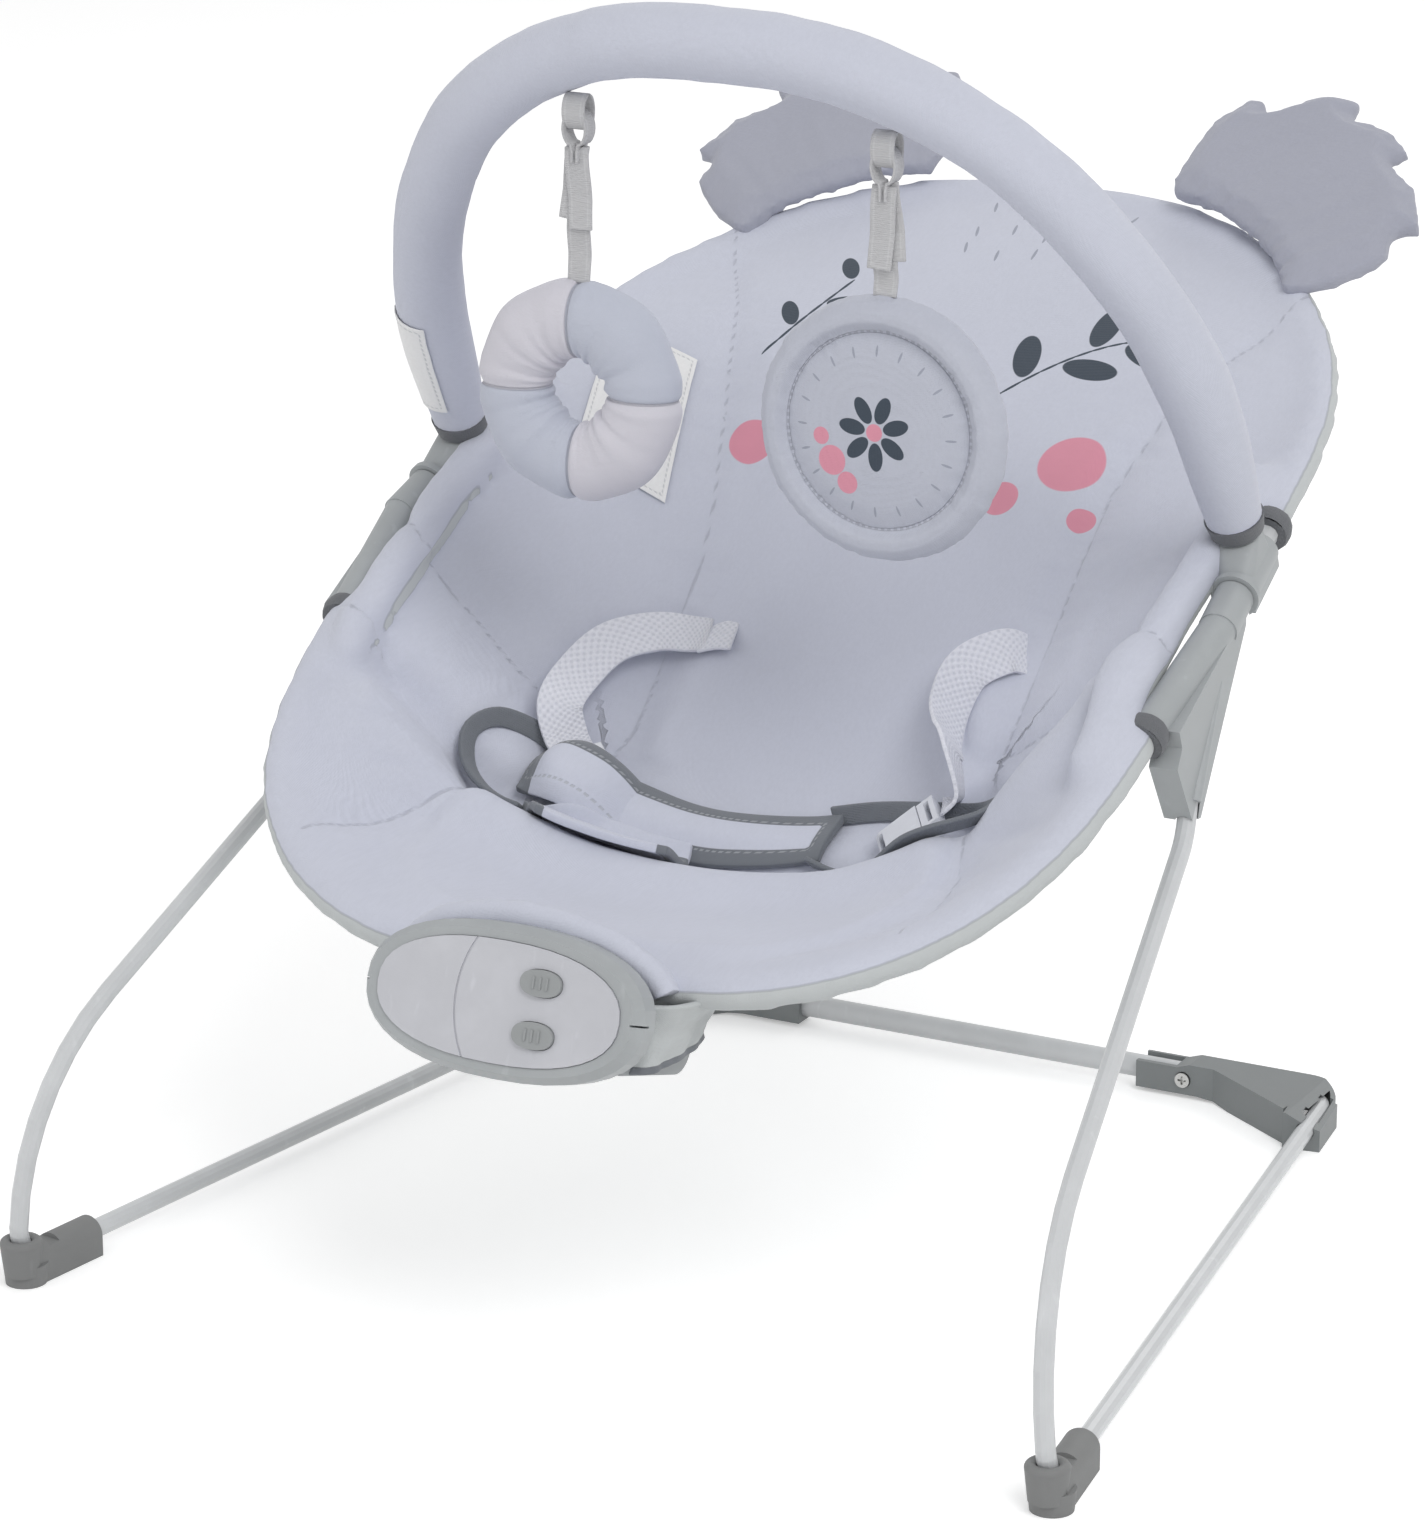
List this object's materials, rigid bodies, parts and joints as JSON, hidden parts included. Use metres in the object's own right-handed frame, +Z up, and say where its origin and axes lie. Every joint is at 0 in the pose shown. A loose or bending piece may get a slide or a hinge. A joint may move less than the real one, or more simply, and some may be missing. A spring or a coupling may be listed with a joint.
{
  "type": "infant bouncer seat",
  "caption": "Reclined infant bouncer: sprung wire base, tube frame with a dished padded seat and harness, clip-off padded toy bar with hanging toys, and a vibration unit.",
  "frame": {"origin": "on the floor, below the centre of the overall box", "axes": "+Z up, -Y the front where the vibration unit is, +Y towards the headrest, +X to the right seen from the front"},
  "size_m": [0.4878, 0.5825, 0.5277],
  "materials": {
    "white_coat": "smooth powder coat, satin",
    "foot_rubber": "matt",
    "grey_plastic": "fine moulded grain",
    "screw_steel": "zinc plated",
    "sleeve_fabric": "plain woven, matt",
    "pad_fabric": "brushed woven, padded",
    "ear_fabric": "brushed woven, padded",
    "webbing": "flat woven webbing",
    "buckle_plastic": "smooth moulded",
    "unit_grey": "fine moulded grain",
    "plate_white": "smooth moulded, satin",
    "button_grey": "fine moulded grain",
    "cell_jacket": "plain printed jacket",
    "bright_steel": "plated",
    "brass_weight": "as turned",
    "board_green": "coated laminate",
    "switch_black": "moulded",
    "binding": "folded binding tape",
    "tape": "flat woven tape",
    "toy_fabric": "brushed woven, filled"
  },
  "bodies": {
    "base": {"leg_wire_left": "white_coat", "leg_wire_right": "white_coat", "front_foot_left": "foot_rubber", "front_foot_right": "foot_rubber", "rear_corner_left": "grey_plastic", "rear_corner_right": "grey_plastic", "rear_crossbar": "white_coat", "rear_screws": "screw_steel"},
    "seat": {"seat_tube_front": "white_coat", "seat_tube_back": "white_coat", "side_bracket_left": "grey_plastic", "side_bracket_right": "grey_plastic", "bracket_screws": "screw_steel", "sleeve_front": "sleeve_fabric", "sleeve_back": "sleeve_fabric", "seat_pad": "pad_fabric", "ear_left": "ear_fabric", "ear_right": "ear_fabric", "crotch_panel": "pad_fabric", "waist_strap_left": "webbing", "waist_strap_right": "webbing", "buckle_socket_left": "buckle_plastic", "buckle_socket_right": "buckle_plastic", "unit_front_case": "unit_grey", "face_plate": "plate_white", "unit_rear_case": "unit_grey", "tube_clamp": "button_grey", "battery": "cell_jacket", "battery_contacts": "bright_steel", "circuit_board": "board_green", "tact_switches": "switch_black", "motor": "bright_steel", "case_screws": "screw_steel"},
    "battery_door": {"battery_door": "unit_grey", "door_screw": "screw_steel"},
    "motor_weight": {"motor_weight": "brass_weight"},
    "button_upper": {"button_upper": "button_grey"},
    "button_lower": {"button_lower": "button_grey"},
    "buckle_plug_left": {"buckle_plug_left": "buckle_plastic"},
    "buckle_plug_right": {"buckle_plug_right": "buckle_plastic"},
    "toy_bar": {"toy_bar_tube": "white_coat", "toy_bar_sleeve": "pad_fabric", "sleeve_hem_left": "binding", "sleeve_hem_right": "binding", "toy_bar_clip_left": "grey_plastic", "toy_bar_clip_right": "grey_plastic", "bar_loops": "tape"},
    "ring_toy": {"ring_toy": "toy_fabric", "ring_strap": "tape"},
    "disc_toy": {"disc_toy": "toy_fabric", "disc_strap": "tape"}
  },
  "joints": [
    {"name": "bounce", "type": "hinge", "parent": "base", "child": "seat", "pos_m": [0, -0.278, 0.025], "axis": [1, 0, 0], "range_deg": [-6, 3], "stiffness_Nm_per_rad": 250, "springref_deg": 1.23, "deforming": ["leg_wire_left", "leg_wire_right"]},
    {"name": "toy_bar_lift", "type": "slide", "parent": "seat", "child": "toy_bar", "axis": [0, -0.3665, 0.9304], "range_m": [0, 0.06]},
    {"name": "ring_swing", "type": "hinge", "parent": "toy_bar", "child": "ring_toy", "pos_m": [-0.065, -0.09768, 0.47881], "axis": [1, 0, 0], "range_deg": [-30, 30]},
    {"name": "disc_swing", "type": "hinge", "parent": "toy_bar", "child": "disc_toy", "pos_m": [0.073, -0.09616, 0.47603], "axis": [1, 0, 0], "range_deg": [-30, 30]},
    {"name": "button_upper_press", "type": "slide", "parent": "seat", "child": "button_upper", "axis": [0, 0.9511, -0.309], "range_m": [0, 0.0015], "stiffness_N_per_m": 300, "springref_m": -0.001},
    {"name": "button_lower_press", "type": "slide", "parent": "seat", "child": "button_lower", "axis": [0, 0.9511, -0.309], "range_m": [0, 0.0015], "stiffness_N_per_m": 300, "springref_m": -0.001},
    {"name": "battery_door_pull", "type": "slide", "parent": "seat", "child": "battery_door", "axis": [0, -0.309, -0.9511], "range_m": [0, 0.03]},
    {"name": "motor_spin", "type": "hinge", "parent": "seat", "child": "motor_weight", "pos_m": [0.041, -0.2445, 0.14379], "axis": [1, 0, 0], "continuous": true},
    {"name": "buckle_left_release", "type": "slide", "parent": "seat", "child": "buckle_plug_left", "axis": [-0.6892, 0.3697, 0.6231], "range_m": [0, 0.02], "deforming": ["waist_strap_left"]},
    {"name": "buckle_right_release", "type": "slide", "parent": "seat", "child": "buckle_plug_right", "axis": [0.6892, 0.3697, 0.6231], "range_m": [0, 0.02], "deforming": ["waist_strap_right"]}
  ]
}
